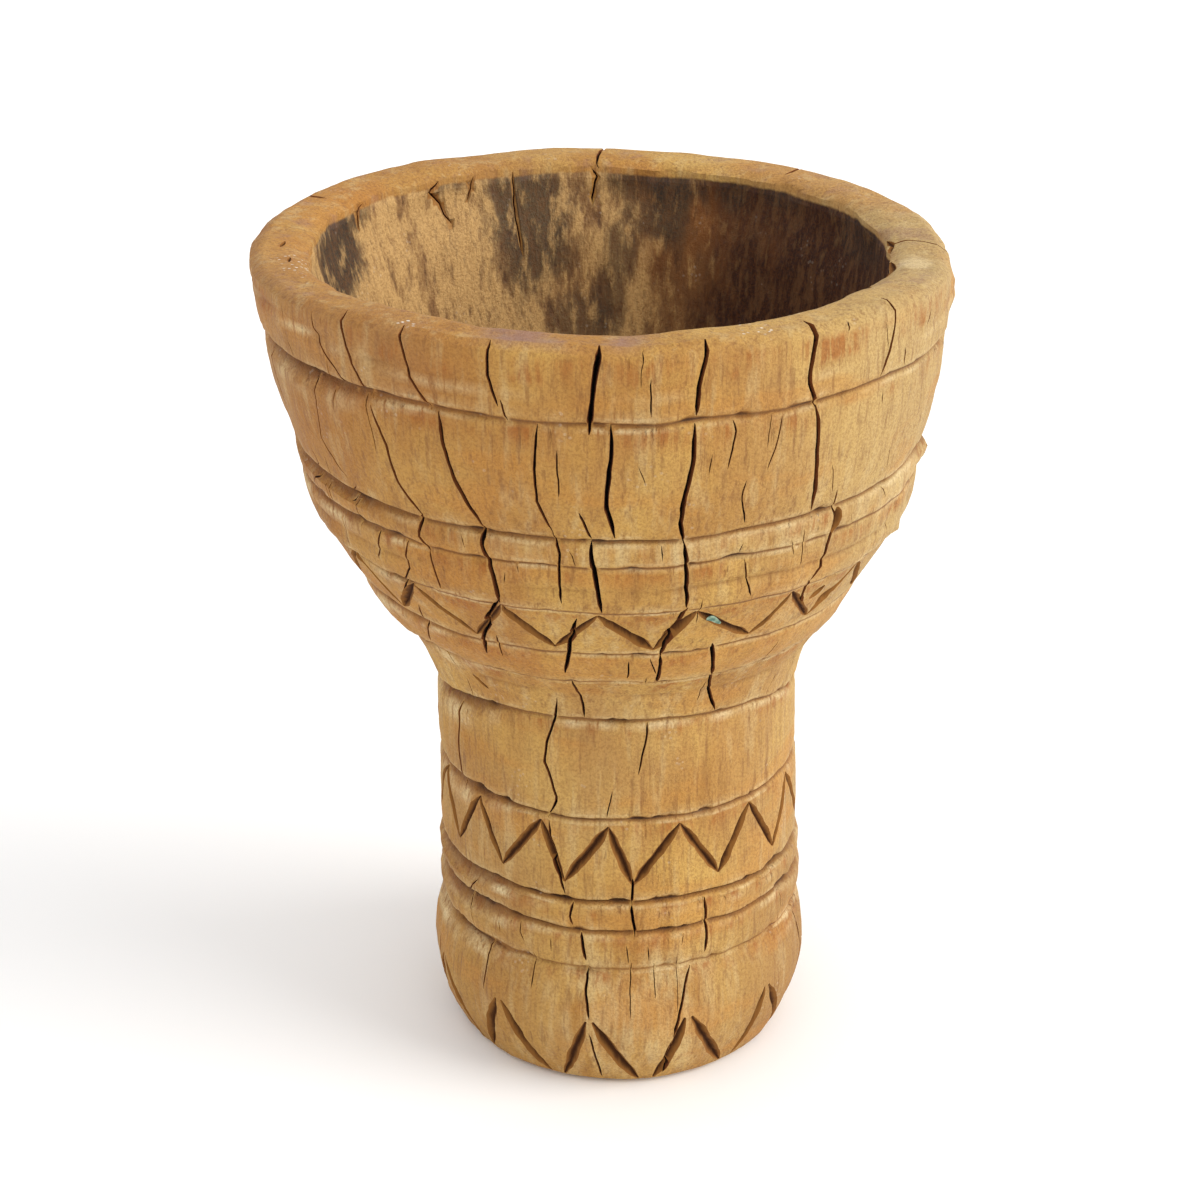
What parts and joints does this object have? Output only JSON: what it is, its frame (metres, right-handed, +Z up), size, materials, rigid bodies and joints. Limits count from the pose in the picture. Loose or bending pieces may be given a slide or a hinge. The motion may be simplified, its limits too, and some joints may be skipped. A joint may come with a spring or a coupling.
{
  "type": "wooden mortar",
  "caption": "Goblet-shaped mortar carved from one log: deep open bowl, solid stem and swollen foot, ringed with grooves and zigzag notches.",
  "frame": {"origin": "centre of the bounding box on the floor plane, under the middle of the bowl", "axes": "+Z up through the bowl's mouth, -Y the front with the widest drying crack, +X to the right"},
  "size_m": [0.2504, 0.2504, 0.32],
  "materials": {
    "carved_wood": "dry hand-worn ochre wood, matt, with dark drying cracks and a stained bowl",
    "flake": "thin pale-green flake, matt"
  },
  "bodies": {
    "root": {"mortar_body": "carved_wood", "groove_flake": "flake"}
  },
  "joints": []
}
